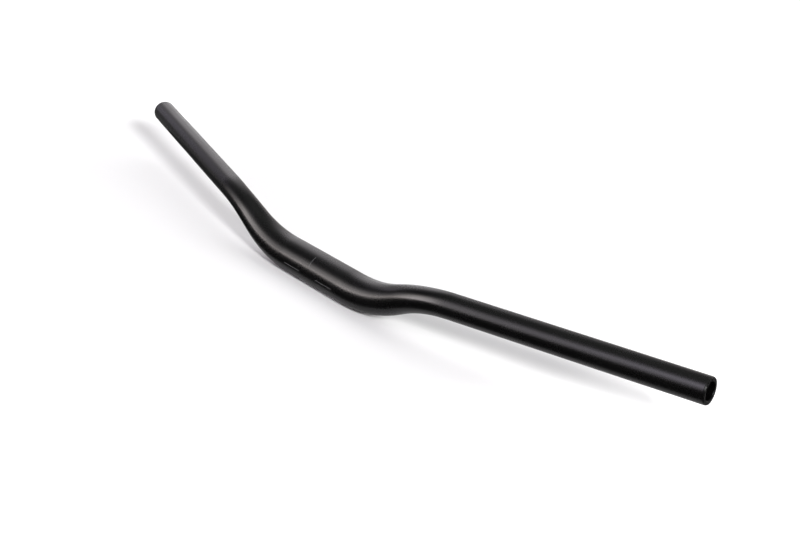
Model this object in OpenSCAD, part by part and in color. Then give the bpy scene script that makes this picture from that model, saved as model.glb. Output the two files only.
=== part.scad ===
// Riser handlebar for a bicycle: one tube, thick in the middle and slim at the
// grips, with two bends on each side that lift it and sweep it back.
// Frame: origin at the middle of the clamp zone on its axis, X along the clamp
// axis, +Y towards the rider, +Z up. The lower bends rise in the upright plane.
// Lengths in millimetres, angles in degrees.

/* [Overall] */
// Width from bar end to bar end, across the middle of both end faces
overall_width = 760; // [700:5:820]

/* [Clamp zone] */
// Outer diameter where the stem clamps
clamp_diameter = 31.8; // [30:0.1:35]
// Length of the middle that keeps the clamp diameter
clamp_length = 74; // [50:1:86]
// Wall of the tube in the clamp zone
clamp_wall = 2.4; // [1.6:0.1:4]

/* [Grips] */
// Outer diameter of the straight ends that carry the grips
grip_diameter = 22.2; // [20:0.1:25.4]
// Wall of the tube in the grips, as seen at the open ends
grip_wall = 3.4; // [1.6:0.1:4.4]

/* [Bends] */
// Straight length between the two lower bends
middle_straight = 87.5; // [87:0.5:120]
// Radius of the lower bends, along the tube's axis
lower_bend_radius = 150; // [80:5:200]
// Angle at which the tube climbs between the bends
rise_angle = 23.5; // [8:0.5:30]
// Straight length between the lower and the upper bend
leg_straight = 6.5; // [2:0.5:30]
// Radius of the upper bends, along the tube's axis
upper_bend_radius = 125; // [80:5:200]
// Angle of the grips towards the rider, seen from above
backsweep = 14.25; // [5:0.25:20]
// Angle of the grips upwards, seen from the front
upsweep = 3.25; // [0:0.25:8]

/* [Taper] */
// Length along the tube over which the clamp diameter fades into the grip diameter
taper_length = 115; // [80:1:140]

/* [Bar ends] */
// Length of the eased outer edge along the tube
end_ease_length = 1.2; // [0.4:0.1:3]
// Depth of the eased outer edge into the wall
end_ease_depth = 0.5; // [0.1:0.1:0.8]
// Size of the small bevel at the mouth of the bore
mouth_bevel = 0.4; // [0.1:0.1:0.7]

/* [Smoothness] */
// Flats around the tube on the bent and tapered stretch
flats_around = 40; // [24:4:56]
// Steps along the bent and tapered stretch, outside
steps_along = 24; // [12:1:28]
// The same inside the bore, where it isn't seen
bore_steps_along = 10; // [6:1:16]

/* [Hidden] */
// Length by which the bent stretch reaches into its straight neighbours
seam_reach = 2;
// Depth by which it stays under their skin there
seam_depth = 0.02;
// Roundness of the straight stretches
around = 96;

clamp_radius = clamp_diameter / 2;
clamp_bore = clamp_radius - clamp_wall;
grip_radius = grip_diameter / 2;
grip_bore = grip_radius - grip_wall;

// Directions of the three straight stretches on the +X side
middle_way = [1, 0, 0];
leg_way = [cos(rise_angle), 0, sin(rise_angle)];
grip_slope = [1, tan(backsweep), tan(upsweep)];
grip_way = grip_slope / norm(grip_slope);

// Arc lengths from the middle of the bar, at the seams between its stretches
upper_bend_angle = acos(leg_way * grip_way);
lower_from = middle_straight / 2;
lower_to = lower_from + lower_bend_radius * rise_angle * PI / 180;
upper_from = lower_to + leg_straight;
upper_to = upper_from + upper_bend_radius * upper_bend_angle * PI / 180;
taper_from = clamp_length / 2;
taper_to = taper_from + taper_length;
grip_from = max(taper_to, upper_to);

// Points on the axis where the bends begin and end
lower_start = lower_from * middle_way;
lower_end = lower_start + bend_step(rise_angle, lower_bend_radius, middle_way, leg_way);
upper_start = lower_end + leg_straight * leg_way;
upper_end = upper_start + bend_step(upper_bend_angle, upper_bend_radius, leg_way, grip_way);

// The grip runs on until its axis is half the overall width from the middle
grip_start = upper_end + (grip_from - upper_to) * grip_way;
grip_length = (overall_width / 2 - grip_start[0]) / grip_way[0];

// Direction square to one way, on the side of the other
function square_to(way, other) = let (side = other - (other * way) * way) side / norm(side);

// Step from the start of a bend to the point reached after turning by an angle
function bend_step(angle, radius, from_way, to_way) =
    radius * (sin(angle) * from_way + (1 - cos(angle)) * square_to(from_way, to_way));

// Direction of the axis after turning by an angle
function bend_way(angle, from_way, to_way) =
    cos(angle) * from_way + sin(angle) * square_to(from_way, to_way);

// Angle turned after a length along a bend
function turned(length, radius) = length / radius * 180 / PI;

// Point on the axis at an arc length from the middle
function axis_point(along) =
    along < lower_from ? along * middle_way :
    along < lower_to ? lower_start
        + bend_step(turned(along - lower_from, lower_bend_radius), lower_bend_radius, middle_way, leg_way) :
    along < upper_from ? lower_end + (along - lower_to) * leg_way :
    along < upper_to ? upper_start
        + bend_step(turned(along - upper_from, upper_bend_radius), upper_bend_radius, leg_way, grip_way) :
    upper_end + (along - upper_to) * grip_way;

// Direction of the axis at an arc length from the middle
function axis_way(along) =
    along < lower_from ? middle_way :
    along < lower_to ? bend_way(turned(along - lower_from, lower_bend_radius), middle_way, leg_way) :
    along < upper_from ? leg_way :
    along < upper_to ? bend_way(turned(along - upper_from, upper_bend_radius), leg_way, grip_way) :
    grip_way;

// Share of the taper done at an arc length, with a soft start and a soft end
function taper_share(along) =
    let (part = min(1, max(0, (along - taper_from) / taper_length))) part * part * (3 - 2 * part);

// Radius that fades from the clamp zone's value to the grip's value
function faded(along, clamp_value, grip_value) =
    clamp_value + (grip_value - clamp_value) * taper_share(along);

// Ring of points around the axis at an arc length, with a flat to the front and back
function ring(along, radius) =
    let (way = axis_way(along), side = square_to(way, [0, 1, 0]), upright = cross(way, side))
    [for (i = [0 : flats_around - 1]) let (turn = 360 * (i + 1 / 2) / flats_around)
        axis_point(along) + radius * (cos(turn) * side + sin(turn) * upright)];

// Triangles between ring number a and ring number b of a tube wall
function band(a, b) =
    [for (i = [0 : flats_around - 1]) let (j = (i + 1) % flats_around, p = a * flats_around, q = b * flats_around)
        each [[p + i, q + j, p + j], [p + i, q + i, q + j]]];

// Arc lengths of the rings of the bent stretch, with one tucked in at each end
function stops(steps) = concat(
    [taper_from - seam_reach],
    [for (i = [0 : steps]) taper_from + (grip_from - taper_from) * i / steps],
    [grip_from + seam_reach]
);

// The bent and tapered stretch of the +X side, a hollow wall with its ends tucked
// into the straight stretches beside it
module bent_stretch() {
    skin = stops(steps_along);
    bore = stops(bore_steps_along);
    // The flats of the bore lie outside its circle, so that they stay in the wall at the seams
    spread = 1 / cos(180 / flats_around);
    outer = [for (at = skin) ring(at, faded(at, clamp_radius, grip_radius) - seam_depth)];
    inner = [for (i = [len(bore) - 1 : -1 : 0])
        ring(bore[i], (faded(bore[i], clamp_bore, grip_bore) + seam_depth) * spread)];
    rings = concat(outer, inner);
    count = len(rings);
    polyhedron(
        points = [for (r = rings) each r],
        faces = [for (i = [0 : count - 1]) each band(i, (i + 1) % count)]
    );
}

// The straight stretches are turned from a section of their wall. Where a bent
// stretch meets it, the section ends in a ridge that lies inside the other's wall.

// Moves a shape drawn along +Z to run out along the grip from its inner end
module along_grip() {
    translate(grip_start)
    rotate([0, acos(grip_way[2]), atan2(grip_way[1], grip_way[0])])
        children();
}

// The straight stretch that carries the grip, open at the bar end
module grip_stretch() {
    along_grip()
    rotate_extrude($fn = around)
        polygon([
            [grip_bore, 0],
            [grip_radius - grip_wall / 2, -grip_wall / 2],
            [grip_radius, 0],
            [grip_radius, grip_length - end_ease_length],
            [grip_radius - end_ease_depth, grip_length],
            [grip_bore + mouth_bevel, grip_length],
            [grip_bore, grip_length - mouth_bevel]
        ]);
}

// The straight middle that the stem clamps
module clamp_stretch() {
    rotate([0, 90, 0])
    rotate_extrude($fn = around)
        polygon([
            [clamp_bore, -clamp_length / 2],
            [clamp_radius - clamp_wall / 2, -clamp_length / 2 - clamp_wall / 2],
            [clamp_radius, -clamp_length / 2],
            [clamp_radius, clamp_length / 2],
            [clamp_radius - clamp_wall / 2, clamp_length / 2 + clamp_wall / 2],
            [clamp_bore, clamp_length / 2]
        ]);
}

module handlebar() {
    color("#1d1d1f")
    union() {
        clamp_stretch();
        for (side = [0, 1])
            mirror([side, 0, 0]) {
                bent_stretch();
                grip_stretch();
            }
    }
}

handlebar();
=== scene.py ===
"""Looks of the riser handlebar: a smooth, matte black anodised tube on a pale floor.

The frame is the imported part's: metres, origin in the middle of the clamp zone, X along
the clamp axis, +Y towards the rider, +Z up. In the photograph the +X end is the near one.
"""
import math

import bpy
import numpy as np
from mathutils import Matrix, Vector


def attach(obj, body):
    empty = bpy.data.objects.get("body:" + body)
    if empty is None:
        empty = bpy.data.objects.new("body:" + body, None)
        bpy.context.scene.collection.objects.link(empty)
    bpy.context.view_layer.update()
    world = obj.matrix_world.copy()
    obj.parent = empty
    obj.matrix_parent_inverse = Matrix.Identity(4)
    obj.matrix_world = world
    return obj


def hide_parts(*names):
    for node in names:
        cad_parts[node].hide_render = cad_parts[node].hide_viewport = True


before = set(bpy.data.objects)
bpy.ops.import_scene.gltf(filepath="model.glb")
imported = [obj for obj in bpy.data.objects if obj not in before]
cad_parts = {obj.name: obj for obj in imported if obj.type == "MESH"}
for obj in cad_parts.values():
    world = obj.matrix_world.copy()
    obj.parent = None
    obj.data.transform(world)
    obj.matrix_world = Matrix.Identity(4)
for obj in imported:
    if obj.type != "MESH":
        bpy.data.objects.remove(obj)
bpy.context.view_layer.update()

MM = 0.001

# Driving dimensions of the tube, in metres and radians, as in the part
WIDTH = 760 * MM
CLAMP_RADIUS = 15.9 * MM
CLAMP_LENGTH = 74 * MM
CLAMP_WALL = 2.4 * MM
GRIP_RADIUS = 11.1 * MM
GRIP_WALL = 3.4 * MM
MIDDLE_STRAIGHT = 87.5 * MM
LOWER_BEND_RADIUS = 150 * MM
RISE_ANGLE = math.radians(23.5)
LEG_STRAIGHT = 6.5 * MM
UPPER_BEND_RADIUS = 125 * MM
BACKSWEEP = math.radians(14.25)
UPSWEEP = math.radians(3.25)
TAPER_LENGTH = 115 * MM
END_EASE_LENGTH = 1.2 * MM
END_EASE_DEPTH = 0.5 * MM
MOUTH_BEVEL = 0.4 * MM

# Fineness of the replacing mesh
FLATS_AROUND = 112
SKIN_STEP = 4 * MM
BORE_STEP = 10 * MM
ROUND_STEPS = 6
# Rounding of the bar end's corners: start of the ease, its edge, mouth, bore
CORNER_RADII = (1.5 * MM, 0.2 * MM, 0.12 * MM, 0.3 * MM)
# Distance from the bar end at which the evenly spaced rings stop, outside and in the bore
SKIN_STOP = 2 * END_EASE_LENGTH
BORE_STOP = 3 * MOUTH_BEVEL


def unit(v):
    """The vector at length one."""
    return v / np.linalg.norm(v)


def square_to(way, other):
    """Direction square to one way, on the side of the other."""
    return unit(other - (other @ way) * way)


class Axis:
    """The tube's axis on the +X side, by arc length from the middle."""

    def __init__(self):
        self.middle_way = np.array([1.0, 0.0, 0.0])
        self.leg_way = np.array([math.cos(RISE_ANGLE), 0.0, math.sin(RISE_ANGLE)])
        self.grip_way = unit(np.array([1.0, math.tan(BACKSWEEP), math.tan(UPSWEEP)]))
        self.turn = math.acos(self.leg_way @ self.grip_way)
        self.lower_from = MIDDLE_STRAIGHT / 2
        self.lower_to = self.lower_from + LOWER_BEND_RADIUS * RISE_ANGLE
        self.upper_from = self.lower_to + LEG_STRAIGHT
        self.upper_to = self.upper_from + UPPER_BEND_RADIUS * self.turn
        self.lower_start = self.lower_from * self.middle_way
        self.lower_end = self.lower_start + self.bend_step(
            RISE_ANGLE, LOWER_BEND_RADIUS, self.middle_way, self.leg_way)
        self.upper_start = self.lower_end + LEG_STRAIGHT * self.leg_way
        self.upper_end = self.upper_start + self.bend_step(
            self.turn, UPPER_BEND_RADIUS, self.leg_way, self.grip_way)
        self.length = self.upper_to + (WIDTH / 2 - self.upper_end[0]) / self.grip_way[0]

    @staticmethod
    def bend_step(angle, radius, from_way, to_way):
        """Step from the start of a bend to the point reached after turning by an angle."""
        side = square_to(from_way, to_way)
        return radius * (math.sin(angle) * from_way + (1 - math.cos(angle)) * side)

    @staticmethod
    def bend_way(angle, from_way, to_way):
        """Direction of the axis after turning by an angle."""
        return math.cos(angle) * from_way + math.sin(angle) * square_to(from_way, to_way)

    def at(self, along):
        """Point and direction of the axis at an arc length."""
        if along < self.lower_from:
            return along * self.middle_way, self.middle_way
        if along < self.lower_to:
            angle = (along - self.lower_from) / LOWER_BEND_RADIUS
            step = self.bend_step(angle, LOWER_BEND_RADIUS, self.middle_way, self.leg_way)
            return self.lower_start + step, self.bend_way(angle, self.middle_way, self.leg_way)
        if along < self.upper_from:
            return self.lower_end + (along - self.lower_to) * self.leg_way, self.leg_way
        if along < self.upper_to:
            angle = (along - self.upper_from) / UPPER_BEND_RADIUS
            step = self.bend_step(angle, UPPER_BEND_RADIUS, self.leg_way, self.grip_way)
            return self.upper_start + step, self.bend_way(angle, self.leg_way, self.grip_way)
        return self.upper_end + (along - self.upper_to) * self.grip_way, self.grip_way


def faded(along, clamp_value, grip_value):
    """Radius that fades softly from the clamp zone's value to the grip's value."""
    share = min(1.0, max(0.0, (along - CLAMP_LENGTH / 2) / TAPER_LENGTH))
    return clamp_value + (grip_value - clamp_value) * share * share * (3 - 2 * share)


def taper_slope(along, clamp_value, grip_value):
    """Change of the faded radius per length along the tube."""
    share = (along - CLAMP_LENGTH / 2) / TAPER_LENGTH
    if not 0 < share < 1:
        return 0.0
    return (grip_value - clamp_value) * 6 * share * (1 - share) / TAPER_LENGTH


def spread(start, stop, step):
    """Even stops from start to stop, about a step apart, both ends included."""
    return np.linspace(start, stop, max(2, int(round((stop - start) / step)) + 1))


def rounded(before, corner, after, radius):
    """Arc that takes off a convex corner of the section: points with their normals."""
    before, corner, after = (np.array(p) for p in (before, corner, after))
    way_in, way_out = unit(corner - before), unit(after - corner)
    turn = math.acos(way_in @ way_out)
    start = corner - way_in * radius * math.tan(turn / 2)
    normal_in = np.array([-way_in[1], way_in[0]])
    centre = start - normal_in * radius
    arc = []
    for part in np.linspace(0, 1, ROUND_STEPS + 1):
        angle = part * turn
        normal = math.cos(angle) * normal_in + math.sin(angle) * way_in
        arc.append((*(centre + radius * normal), *normal))
    return arc


def half_profile(axis):
    """Arc length, radius and normal of each ring, from the middle out over the skin,
    round the bar end and back to the middle through the bore."""
    end = axis.length
    grip_bore = GRIP_RADIUS - GRIP_WALL
    clamp_bore = CLAMP_RADIUS - CLAMP_WALL
    section = [
        (end - SKIN_STOP, GRIP_RADIUS),
        (end - END_EASE_LENGTH, GRIP_RADIUS),
        (end, GRIP_RADIUS - END_EASE_DEPTH),
        (end, grip_bore + MOUTH_BEVEL),
        (end - MOUTH_BEVEL, grip_bore),
        (end - BORE_STOP, grip_bore),
    ]
    rings = []
    for s in spread(0, end - SKIN_STOP, SKIN_STEP):
        normal = unit(np.array([-taper_slope(s, CLAMP_RADIUS, GRIP_RADIUS), 1.0]))
        rings.append((s, faded(s, CLAMP_RADIUS, GRIP_RADIUS), *normal))
    for k, radius in enumerate(CORNER_RADII, start=1):
        rings += rounded(section[k - 1], section[k], section[k + 1], radius)
    for s in spread(0, end - BORE_STOP, BORE_STEP)[::-1]:
        normal = unit(np.array([taper_slope(s, clamp_bore, grip_bore), -1.0]))
        rings.append((s, faded(s, clamp_bore, grip_bore), *normal))
    return rings


def tube_mesh(name):
    """One closed skin: outside, both bar ends and the bore right through."""
    axis = Axis()
    half = half_profile(axis)
    stations = [(1, *ring) for ring in half] + [(-1, *ring) for ring in half[-2:0:-1]]
    turns = np.arange(FLATS_AROUND) * 2 * math.pi / FLATS_AROUND
    points, normals = [], []
    for sign, along, radius, lean, rise in stations:
        point, way = axis.at(along)
        side = square_to(way, np.array([0.0, 1.0, 0.0]))
        upright = np.cross(way, side)
        outward = np.outer(np.cos(turns), side) + np.outer(np.sin(turns), upright)
        mirror = np.array([sign, 1.0, 1.0])
        points.append((point + radius * outward) * mirror)
        normals.append((lean * way + rise * outward) * mirror)
    count = len(stations)
    faces = []
    for a in range(count):
        b = (a + 1) % count
        for i in range(FLATS_AROUND):
            j = (i + 1) % FLATS_AROUND
            p, q = a * FLATS_AROUND, b * FLATS_AROUND
            faces.append((p + i, p + j, q + j, q + i))
    mesh = bpy.data.meshes.new(name)
    mesh.from_pydata(np.concatenate(points).tolist(), [], faces)
    mesh.shade_smooth()
    mesh.normals_split_custom_set_from_vertices(np.concatenate(normals).tolist())
    mesh.update()
    return mesh


def add(obj):
    """Puts a new object into the scene."""
    bpy.context.scene.collection.objects.link(obj)
    return obj


handlebar = add(bpy.data.objects.new("handlebar_tube", tube_mesh("handlebar_tube")))
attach(handlebar, "root")
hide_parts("handlebar")

# Spread of a noise texture's values that is stretched over a range
NOISE_LOW = 0.3
NOISE_HIGH = 0.7


def new_material(name):
    """A material with its node tree and its shader."""
    material = bpy.data.materials.new(name)
    material.use_nodes = True
    tree = material.node_tree
    return material, tree, tree.nodes["Principled BSDF"]


def calc(tree, operation, *values):
    """Result of one math node on numbers or sockets."""
    node = tree.nodes.new("ShaderNodeMath")
    node.operation = operation
    for socket, value in zip(node.inputs, values):
        if isinstance(value, (int, float)):
            socket.default_value = value
        else:
            tree.links.new(value, socket)
    return node.outputs[0]


def noise(tree, waves, detail):
    """Grey noise by place on the object, in waves per metre."""
    place = tree.nodes.new("ShaderNodeTexCoord")
    node = tree.nodes.new("ShaderNodeTexNoise")
    node.inputs["Scale"].default_value = waves
    node.inputs["Detail"].default_value = detail
    tree.links.new(place.outputs["Object"], node.inputs["Vector"])
    return node.outputs["Fac"]


def ranged(tree, value, low, high):
    """Noise stretched from its usual spread to a range of values."""
    node = tree.nodes.new("ShaderNodeMapRange")
    node.inputs["From Min"].default_value = NOISE_LOW
    node.inputs["From Max"].default_value = NOISE_HIGH
    node.inputs["To Min"].default_value = low
    node.inputs["To Max"].default_value = high
    tree.links.new(value, node.inputs["Value"])
    return node.outputs["Result"]


def mixed(tree, value, dark, light):
    """Colour between a dark and a light one, by a value from 0 to 1."""
    node = tree.nodes.new("ShaderNodeMix")
    node.data_type = "RGBA"
    node.inputs["A"].default_value = (*dark, 1)
    node.inputs["B"].default_value = (*light, 1)
    tree.links.new(value, node.inputs["Factor"])
    return node.outputs["Result"]


def bumped(tree, shader, value, depth):
    """Bumps on a shader, as high as a depth where the value is 1."""
    node = tree.nodes.new("ShaderNodeBump")
    node.inputs["Distance"].default_value = depth
    tree.links.new(value, node.inputs["Height"])
    tree.links.new(node.outputs["Normal"], shader.inputs["Normal"])


# Bead-blasted and anodised: a fine grain, and a sheen that drifts a little along the tube
DRIFT_WAVES, DRIFT_DETAIL = 38.0, 1.0
GRAIN_WAVES, GRAIN_DETAIL = 900.0, 4.0
GRAIN_DEPTH = 0.008 * MM
BLACK_DARK = (0.0006, 0.0006, 0.0006)
BLACK_LIGHT = (0.0012, 0.0012, 0.0012)
DRIFT_ROUGHNESS = (0.255, 0.285)
GRAIN_ROUGHNESS = (-0.01, 0.01)

black, tree, shader = new_material("black_anodised")
drift = noise(tree, DRIFT_WAVES, DRIFT_DETAIL)
grain = noise(tree, GRAIN_WAVES, GRAIN_DETAIL)
tree.links.new(mixed(tree, drift, BLACK_DARK, BLACK_LIGHT), shader.inputs["Base Color"])
drift_roughness = ranged(tree, drift, *DRIFT_ROUGHNESS)
grain_roughness = ranged(tree, grain, *GRAIN_ROUGHNESS)
roughness = calc(tree, "ADD", drift_roughness, grain_roughness)
tree.links.new(roughness, shader.inputs["Roughness"])
bumped(tree, shader, grain, GRAIN_DEPTH)
handlebar.data.materials.append(black)

# Etched setting-up marks on the clamp zone: a centre tick above, a dash each side in front
MARK_PROUD = 0.02 * MM
MARK_SUNK = 0.08 * MM
MARK_WIDTH = 0.45 * MM
DASH_FROM = 12.25 * MM
DASH_TO = 34.8 * MM
# Angles above the -Y side, in degrees
DASH_ANGLE = -10.0
TICK_ANGLES = (20.0, 58.0)
MARK_STEPS_ALONG = 36
MARK_STEPS_ACROSS = 4
MOTTLE_WAVES, MOTTLE_DETAIL = 2500.0, 3.0
MOTTLE_DEPTH = 0.005 * MM
ETCHED_DARK = (0.078, 0.078, 0.08)
ETCHED_LIGHT = (0.13, 0.13, 0.133)
ETCHED_ROUGHNESS = (0.42, 0.55)


def strip(x_from, x_to, x_steps, angle_from, angle_to, angle_steps):
    """Closed thin plate on the clamp zone: x range, and angles above -Y in degrees."""
    xs = np.linspace(x_from, x_to, x_steps + 1)
    angles = np.radians(np.linspace(angle_from, angle_to, angle_steps + 1))
    points = [
        (x, -radius * math.cos(angle), radius * math.sin(angle))
        for radius in (CLAMP_RADIUS + MARK_PROUD, CLAMP_RADIUS - MARK_SUNK)
        for x in xs
        for angle in angles
    ]
    row = angle_steps + 1
    layer = row * (x_steps + 1)
    last = x_steps * row
    faces = []
    for i in range(x_steps):
        for a in range(i * row, i * row + angle_steps):
            faces.append((a, a + row, a + row + 1, a + 1))
            faces.append((layer + a, layer + a + 1, layer + a + row + 1, layer + a + row))
    rim = [(i * row, (i + 1) * row) for i in range(x_steps)]
    rim += [(last + j, last + j + 1) for j in range(angle_steps)]
    rim += [((i + 1) * row + angle_steps, i * row + angle_steps) for i in range(x_steps)]
    rim += [(j + 1, j) for j in range(angle_steps)]
    faces += [(b, a, layer + a, layer + b) for a, b in rim]
    return points, faces


def marks_mesh(name):
    """The two dashes and the tick, each a closed plate sunk into the skin."""
    half_angle = math.degrees(MARK_WIDTH / 2 / CLAMP_RADIUS)
    dash_angles = (DASH_ANGLE - half_angle, DASH_ANGLE + half_angle)
    along, across = MARK_STEPS_ALONG, MARK_STEPS_ACROSS
    strips = [
        strip(-DASH_TO, -DASH_FROM, along, *dash_angles, across),
        strip(DASH_FROM, DASH_TO, along, *dash_angles, across),
        strip(-MARK_WIDTH / 2, MARK_WIDTH / 2, across, *TICK_ANGLES, along),
    ]
    points, faces = [], []
    for more_points, more_faces in strips:
        base = len(points)
        points += more_points
        faces += [tuple(base + k for k in face) for face in more_faces]
    mesh = bpy.data.meshes.new(name)
    mesh.from_pydata(points, [], faces)
    mesh.update()
    return mesh


marks = add(bpy.data.objects.new("clamp_marks", marks_mesh("clamp_marks")))
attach(marks, "root")
etched, tree, shader = new_material("etched_grey")
mottle = noise(tree, MOTTLE_WAVES, MOTTLE_DETAIL)
tree.links.new(mixed(tree, mottle, ETCHED_DARK, ETCHED_LIGHT), shader.inputs["Base Color"])
tree.links.new(ranged(tree, mottle, *ETCHED_ROUGHNESS), shader.inputs["Roughness"])
bumped(tree, shader, mottle, MOTTLE_DEPTH)
marks.data.materials.append(etched)

# Floor, tangent to the clamp zone: a plain pale board under the lamps
FLOOR_HALF = 8.0
FLOOR_COLOUR = 0.85
# A white glow of its own for the rays that show it, painted light: it starts at a distance from
# a place on the -X side, so that the key's shadow fades at the tip of the +X grip, and beyond
# it the floor is evenly white.
FLOOR_WHITE_AND_PAINTED_LIGHT = 0.3
FLOOR_WHITE_CENTRE = Vector((-150, 60, 0)) * MM
FLOOR_WHITE_FROM = 350 * MM
FLOOR_WHITE_TO = 460 * MM
# Rays that show what they hit instead of lighting with it, and those that show the world white
SHOWING_RAYS = ("Is Camera Ray", "Is Glossy Ray", "Is Transmission Ray")
SEE_THROUGH_RAYS = ("Is Camera Ray", "Is Transmission Ray")


def square(half):
    """Corners of a square around the origin."""
    return [(-half, -half), (half, -half), (half, half), (-half, half)]


def level_sheet(name, corners, height):
    """A level stage sheet with the given outline."""
    mesh = bpy.data.meshes.new(name)
    mesh.from_pydata([(x, y, height) for x, y in corners], [], [tuple(range(len(corners)))])
    sheet = add(bpy.data.objects.new(name, mesh))
    return sheet


def dull(name, grey):
    """A material with no shine, and the tree and shader of it."""
    material, tree, shader = new_material(name)
    shader.inputs["Base Color"].default_value = (grey, grey, grey, 1)
    shader.inputs["Roughness"].default_value = 1.0
    shader.inputs["Specular IOR Level"].default_value = 0.0
    return material, tree, shader


def is_ray(tree, kinds):
    """1 on rays of these kinds, 0 on the others."""
    path = tree.nodes.new("ShaderNodeLightPath")
    total = path.outputs[kinds[0]]
    for kind in kinds[1:]:
        total = calc(tree, "MAXIMUM", total, path.outputs[kind])
    return total


floor = level_sheet("floor", square(FLOOR_HALF), -CLAMP_RADIUS)
pale, tree, shader = dull("pale_floor", FLOOR_COLOUR)
shader.inputs["Emission Color"].default_value = (1, 1, 1, 1)
place = tree.nodes.new("ShaderNodeTexCoord")
reach = tree.nodes.new("ShaderNodeVectorMath")
reach.operation = "DISTANCE"
reach.inputs[1].default_value = FLOOR_WHITE_CENTRE
tree.links.new(place.outputs["Object"], reach.inputs[0])
# Painted light: the floor's own glow rises with the distance from that place, lifting the key's
# shadow near the tip of the +X grip; further out it keeps the floor evenly white.
white_and_painted_light = tree.nodes.new("ShaderNodeMapRange")
white_and_painted_light.interpolation_type = "SMOOTHSTEP"
white_and_painted_light.inputs["From Min"].default_value = FLOOR_WHITE_FROM
white_and_painted_light.inputs["From Max"].default_value = FLOOR_WHITE_TO
white_and_painted_light.inputs["To Max"].default_value = FLOOR_WHITE_AND_PAINTED_LIGHT
tree.links.new(reach.outputs["Value"], white_and_painted_light.inputs["Value"])
shown_white_and_painted_light = calc(tree, "MULTIPLY", white_and_painted_light.outputs["Result"], is_ray(tree, SHOWING_RAYS))
tree.links.new(shown_white_and_painted_light, shader.inputs["Emission Strength"])
floor.data.materials.append(pale)

# Painted reflection: sheets over the pale floor that only the bar's reflections see, which show
# it grey under the bar and dark in front of it and beside its +X end. The sheets lie one lift
# apart, so that they don't flicker.
CARD_LIFT = 0.3 * MM
PAINTED_REFLECTION_GREY = 0.39
PAINTED_REFLECTION_DARK = 0.018
# Step along the bar's ground line, and the gap from it to the dark, by place along X
GROUND_STEP = 20 * MM
GAP_AT = (-160 * MM, -60 * MM, 60 * MM, 160 * MM)
GAPS = (6.2 * MM, 19.0 * MM, 19.0 * MM, 21.2 * MM)
# How far back the dark reaches behind the -X end, further out and close beside it, and
# its distance from that end along X
DARK_FAR_BACK = 287 * MM
DARK_NEAR_BACK = 71.75 * MM
DARK_SLANT = 40 * MM
# Room between the +X end and the dark beside it
DARK_BESIDE = 6 * MM
# Where the dark grows a little lighter towards -X: up to which X, and its grey
LIGHTER_STRETCHES = ((-200 * MM, 0.045), (-450 * MM, 0.13))


def painted_reflection_sheet(name, corners, lift, grey):
    """A sheet just above the floor that only reflections see."""
    sheet = level_sheet(name, corners, -CLAMP_RADIUS + lift)
    sheet.data.materials.append(dull(name, grey)[0])
    sheet.visible_camera = False
    sheet.visible_shadow = False
    sheet.visible_diffuse = False
    sheet.visible_transmission = False


def left_of(corners, limit):
    """The part of a flat outline whose X is below a limit."""
    kept = []
    for (x, y), (next_x, next_y) in zip(corners, corners[1:] + corners[:1]):
        if x <= limit:
            kept.append((x, y))
        if (x - limit) * (next_x - limit) < 0:
            kept.append((limit, y + (next_y - y) * (limit - x) / (next_x - x)))
    return kept


def dark_outline(half):
    """Outline of the dark: from beyond the -X end along the bar's front, round its +X end
    and back over the floor's front half."""
    axis = Axis()
    one_side = [axis.at(s)[0] for s in spread(0, axis.length, GROUND_STEP)]
    ground = [(-x, y) for x, y, _ in one_side[::-1]] + [(x, y) for x, y, _ in one_side[1:]]
    edge = [(x, y - float(np.interp(x, GAP_AT, GAPS))) for x, y in ground]
    (first_x, first_y), (last_x, last_y) = edge[0], edge[-1]
    return [
        (-half, first_y + DARK_FAR_BACK),
        (first_x - DARK_SLANT, first_y + DARK_FAR_BACK),
        (first_x - DARK_SLANT, first_y + DARK_NEAR_BACK),
        *edge,
        (last_x + DARK_BESIDE, last_y),
        (last_x + DARK_BESIDE, half),
        (half, half),
        (half, -half),
        (-half, -half),
    ]


# Painted reflection: in the bar's reflections, the dark sheet and its lighter stretches show a
# dim floor in front of the bar and the grey sheet a grey floor under it, while the camera sees
# the pale floor.
dark = dark_outline(FLOOR_HALF)
painted_reflection_sheet("painted_reflection_grey", square(FLOOR_HALF), CARD_LIFT, PAINTED_REFLECTION_GREY)
painted_reflection_sheet("painted_reflection_dark", dark, 2 * CARD_LIFT, PAINTED_REFLECTION_DARK)
for number, (limit, grey) in enumerate(LIGHTER_STRETCHES, start=1):
    painted_reflection_sheet(f"painted_reflection_left_{number}", left_of(dark, limit), (2 + number) * CARD_LIFT, grey)

# World: a studio of soft boxes, each by azimuth from -Y towards +X, elevation, half
# width and half height in degrees, radiance and tint
SOFT_BOXES = (
    (-41.6, -1.6, 14.7, 6.0, 9.00, (1.09, 0.98, 0.94)),
    (-31.6, -0.1, 10.2, 25.8, 8.03, (1.03, 0.97, 1.00)),
    (-41.0, 17.0, 6.5, 9.9, 3.34, (1.08, 1.01, 0.91)),
    (-52.0, 13.9, 10.7, 9.6, 0.99, (1.00, 0.96, 1.06)),
    (-57.5, -10.7, 26.8, 7.0, 0.92, (1.02, 1.00, 0.98)),
    (-7.8, 40.3, 6.5, 24.3, 6.54, (0.99, 0.93, 1.08)),
    (-157.5, -19.9, 23.0, 39.7, 1.85, (1.05, 0.98, 0.98)),
    (-126.1, -2.0, 6.0, 21.0, 1.81, (1.00, 0.99, 1.01)),
    (-112.6, 29.1, 17.0, 12.5, 1.75, (1.02, 0.97, 1.01)),
    (-87.5, 6.5, 6.0, 18.8, 1.49, (0.99, 0.93, 1.08)),
    (0.0, 90.0, 720.0, 36.0, 0.42, (0.99, 1.02, 0.98)),
    (170.0, 40.0, 25.0, 20.0, 0.60, (1.00, 1.00, 1.00)),
)
# Degrees in a radian, and in half a turn
DEGREES = 180 / math.pi
HALF_TURN = 180.0


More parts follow.
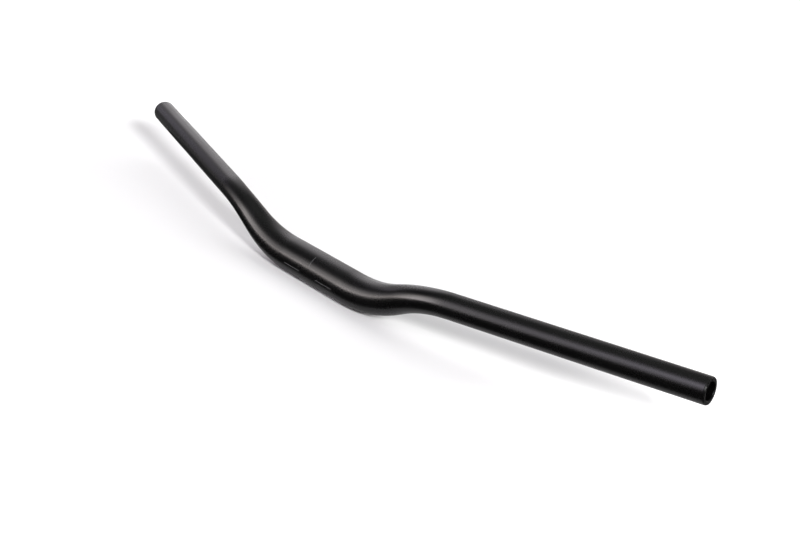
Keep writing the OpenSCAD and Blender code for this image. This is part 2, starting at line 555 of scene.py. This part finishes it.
def soft_box(tree, azimuth, elevation, box):
    """Light of one box: brightest in its middle, falling off as a bell curve."""
    box_azimuth, box_elevation, half_width, half_height, radiance, tint = box
    turn = calc(tree, "SUBTRACT", azimuth, box_azimuth)
    turn = calc(tree, "WRAP", turn, HALF_TURN, -HALF_TURN)
    across = calc(tree, "DIVIDE", turn, half_width)
    upright = calc(tree, "SUBTRACT", elevation, box_elevation)
    upright = calc(tree, "DIVIDE", upright, half_height)
    across_squared = calc(tree, "MULTIPLY", across, across)
    upright_squared = calc(tree, "MULTIPLY", upright, upright)
    distance_squared = calc(tree, "ADD", across_squared, upright_squared)
    fall = calc(tree, "EXPONENT", calc(tree, "MULTIPLY", distance_squared, -1.0))
    scaled = tree.nodes.new("ShaderNodeVectorMath")
    scaled.operation = "SCALE"
    scaled.inputs[0].default_value = [radiance * channel for channel in tint]
    tree.links.new(fall, scaled.inputs["Scale"])
    return scaled.outputs[0]


def summed(tree, lights):
    """Sum of coloured lights."""
    total = lights[0]
    for light in lights[1:]:
        node = tree.nodes.new("ShaderNodeVectorMath")
        node.operation = "ADD"
        tree.links.new(total, node.inputs[0])
        tree.links.new(light, node.inputs[1])
        total = node.outputs[0]
    return total


world = bpy.data.worlds.new("studio")
bpy.context.scene.world = world
world.use_nodes = True
tree = world.node_tree
where = tree.nodes.new("ShaderNodeTexCoord").outputs["Generated"]
parts = tree.nodes.new("ShaderNodeSeparateXYZ")
tree.links.new(where, parts.inputs[0])
front = calc(tree, "MULTIPLY", parts.outputs["Y"], -1.0)
azimuth = calc(tree, "MULTIPLY", calc(tree, "ARCTAN2", parts.outputs["X"], front), DEGREES)
elevation = calc(tree, "MULTIPLY", calc(tree, "ARCSINE", parts.outputs["Z"]), DEGREES)
light = summed(tree, [soft_box(tree, azimuth, elevation, box) for box in SOFT_BOXES])
pick = tree.nodes.new("ShaderNodeMix")
pick.data_type = "RGBA"
tree.links.new(is_ray(tree, SEE_THROUGH_RAYS), pick.inputs["Factor"])
tree.links.new(light, pick.inputs["A"])
pick.inputs["B"].default_value = (1, 1, 1, 1)
tree.links.new(pick.outputs["Result"], tree.nodes["Background"].inputs["Color"])
tree.nodes["Background"].inputs["Strength"].default_value = 1.0


def direction(azimuth, elevation):
    """Unit vector by azimuth from -Y towards +X, and elevation."""
    return Vector((math.sin(azimuth) * math.cos(elevation),
                   -math.cos(azimuth) * math.cos(elevation), math.sin(elevation)))


# Key: a soft lamp beyond the +X end, in front, which throws the shadow of the grips. Its
# light keeps one strength over the distance, so that the floor stays even.
KEY_PLACE = Vector((1763, -806, 886)) * MM
KEY_RADIUS = 170 * MM
KEY_STRENGTH = 3.5

key_data = bpy.data.lights.new("key", "POINT")
key_data.energy = KEY_STRENGTH * 4 * math.pi
key_data.shadow_soft_size = KEY_RADIUS
key_data.use_nodes = True
tree = key_data.node_tree
falloff = tree.nodes.new("ShaderNodeLightFalloff")
falloff.inputs["Strength"].default_value = 1.0
tree.links.new(falloff.outputs["Constant"], tree.nodes["Emission"].inputs["Strength"])
key = add(bpy.data.objects.new("key", key_data))
key.location = KEY_PLACE

# Broad light from behind, for the contact shadow in front of the clamp zone
BACK_AZIMUTH = math.radians(170)
BACK_ELEVATION = math.radians(45)
BACK_SPREAD = math.radians(90)
BACK_STRENGTH = 1.5

back_data = bpy.data.lights.new("broad_back", "SUN")
back_data.energy = BACK_STRENGTH
back_data.angle = BACK_SPREAD
back_light = add(bpy.data.objects.new("broad_back", back_data))
back_light.visible_glossy = False
back_light.rotation_mode = "QUATERNION"
back_light.rotation_quaternion = direction(BACK_AZIMUTH, BACK_ELEVATION).to_track_quat("Z", "Y")

# Camera, fitted to the photograph's outline
PICTURE_WIDTH = 800
SENSOR_WIDTH = 36.0
FOCAL_PIXELS = 1473.01
CAMERA_AZIMUTH = math.radians(47.4008)
CAMERA_ELEVATION = math.radians(18.3947)
CAMERA_ROLL = math.radians(9.3779)
CAMERA_DISTANCE = 1345.1528 * MM
CAMERA_TARGET = Vector((10.4093 * MM, 82.2749 * MM, 0))

back = direction(CAMERA_AZIMUTH, CAMERA_ELEVATION)
right = Vector((0, 0, 1)).cross(back).normalized()
up = back.cross(right)
rolled_right = math.cos(CAMERA_ROLL) * right + math.sin(CAMERA_ROLL) * up
rolled_up = math.cos(CAMERA_ROLL) * up - math.sin(CAMERA_ROLL) * right
camera_data = bpy.data.cameras.new("camera")
camera_data.sensor_width = SENSOR_WIDTH
camera_data.lens = FOCAL_PIXELS * SENSOR_WIDTH / PICTURE_WIDTH
camera = add(bpy.data.objects.new("camera", camera_data))
turned = Matrix((rolled_right, rolled_up, back)).transposed().to_4x4()
camera.matrix_world = Matrix.Translation(CAMERA_TARGET + back * CAMERA_DISTANCE) @ turned
bpy.context.scene.camera = camera

bpy.context.scene.view_settings.view_transform = "Standard"
